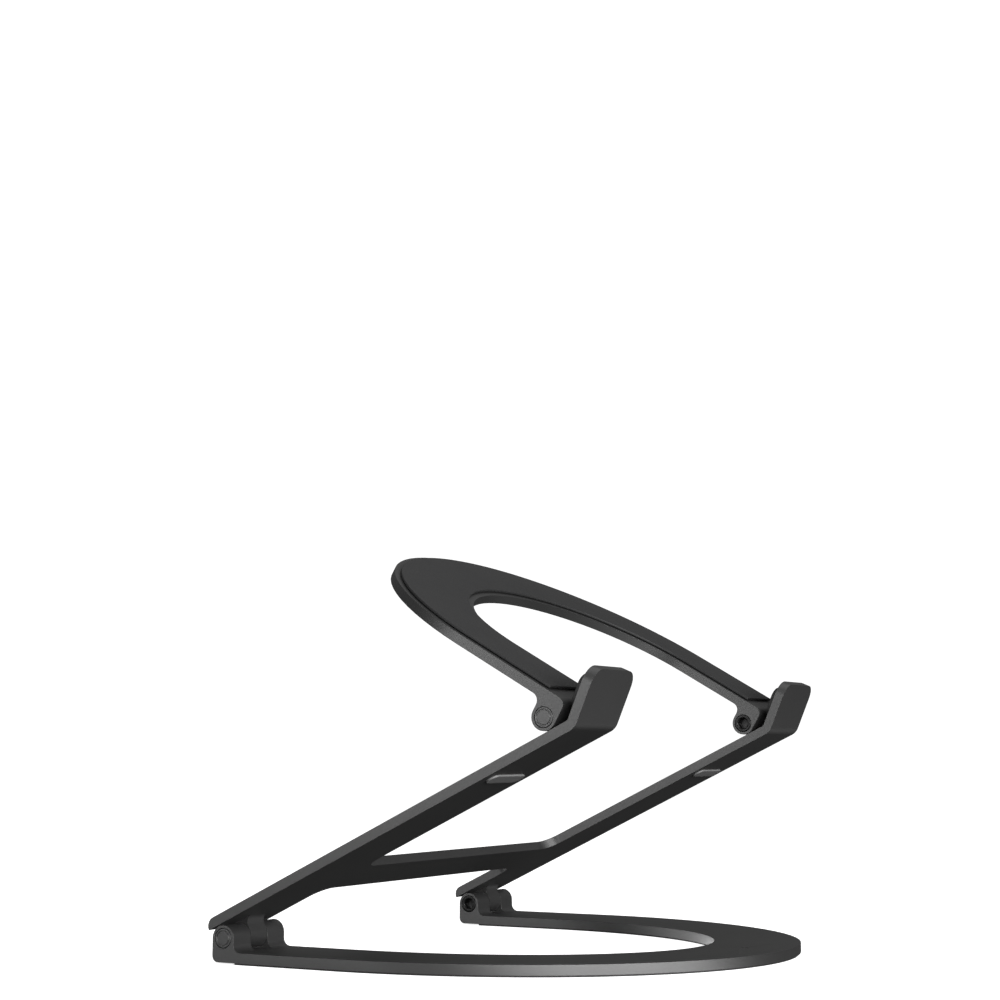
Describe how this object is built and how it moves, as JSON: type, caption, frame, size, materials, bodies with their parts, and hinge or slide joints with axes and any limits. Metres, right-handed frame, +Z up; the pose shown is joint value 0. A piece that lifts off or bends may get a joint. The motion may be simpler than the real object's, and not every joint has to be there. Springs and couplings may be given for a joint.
{
  "type": "laptop stand",
  "caption": "Folding desk stand that holds a laptop tilted above a U-shaped base on friction hinges, with hooks for its front edge.",
  "frame": {"origin": "on the table, in the middle of the footprint in the working position", "axes": "+X to the user's right, +Y away from the user, +Z up"},
  "size_m": [0.266, 0.2284, 0.1928],
  "materials": {
    "anodised": "bead-blasted, dark anodised, satin",
    "silicone": "matt black silicone",
    "grey_rubber": "mid-grey moulded rubber",
    "blackened_steel": "blackened steel",
    "spring_steel": "plain",
    "bronze": "sintered bearing bronze"
  },
  "bodies": {
    "base": {"base_frame": "anodised", "base_pad": "silicone", "front_plug": "silicone", "left_base_hinge_sleeve": "blackened_steel", "left_base_hinge_screw": "blackened_steel", "left_base_hinge_disc_spring": "spring_steel", "left_base_hinge_outer_washer": "spring_steel", "left_base_hinge_inner_washer": "spring_steel", "right_base_hinge_sleeve": "blackened_steel", "right_base_hinge_screw": "blackened_steel", "right_base_hinge_disc_spring": "spring_steel", "right_base_hinge_outer_washer": "spring_steel", "right_base_hinge_inner_washer": "spring_steel"},
    "mid_frame": {"middle_frame": "anodised", "left_hook_pad": "silicone", "left_fold_bumper": "grey_rubber", "left_base_hinge_bush": "bronze", "left_top_hinge_bush": "bronze", "right_hook_pad": "silicone", "right_fold_bumper": "grey_rubber", "right_base_hinge_bush": "bronze", "right_top_hinge_bush": "bronze"},
    "top_frame_body": {"top_frame": "anodised", "top_pad": "silicone", "left_top_hinge_sleeve": "blackened_steel", "left_top_hinge_screw": "blackened_steel", "left_top_hinge_disc_spring": "spring_steel", "left_top_hinge_outer_washer": "spring_steel", "left_top_hinge_inner_washer": "spring_steel", "right_top_hinge_sleeve": "blackened_steel", "right_top_hinge_screw": "blackened_steel", "right_top_hinge_disc_spring": "spring_steel", "right_top_hinge_outer_washer": "spring_steel", "right_top_hinge_inner_washer": "spring_steel"}
  },
  "joints": [
    {"name": "base_hinge", "type": "hinge", "parent": "base", "child": "mid_frame", "pos_m": [0, 0.10576, 0.0116], "axis": [-1, 0, 0], "range_deg": [-29.8, 60]},
    {"name": "top_hinge", "type": "hinge", "parent": "mid_frame", "child": "top_frame_body", "pos_m": [0, -0.05793, 0.10993], "axis": [1, 0, 0], "range_deg": [-55.9, 10]}
  ]
}
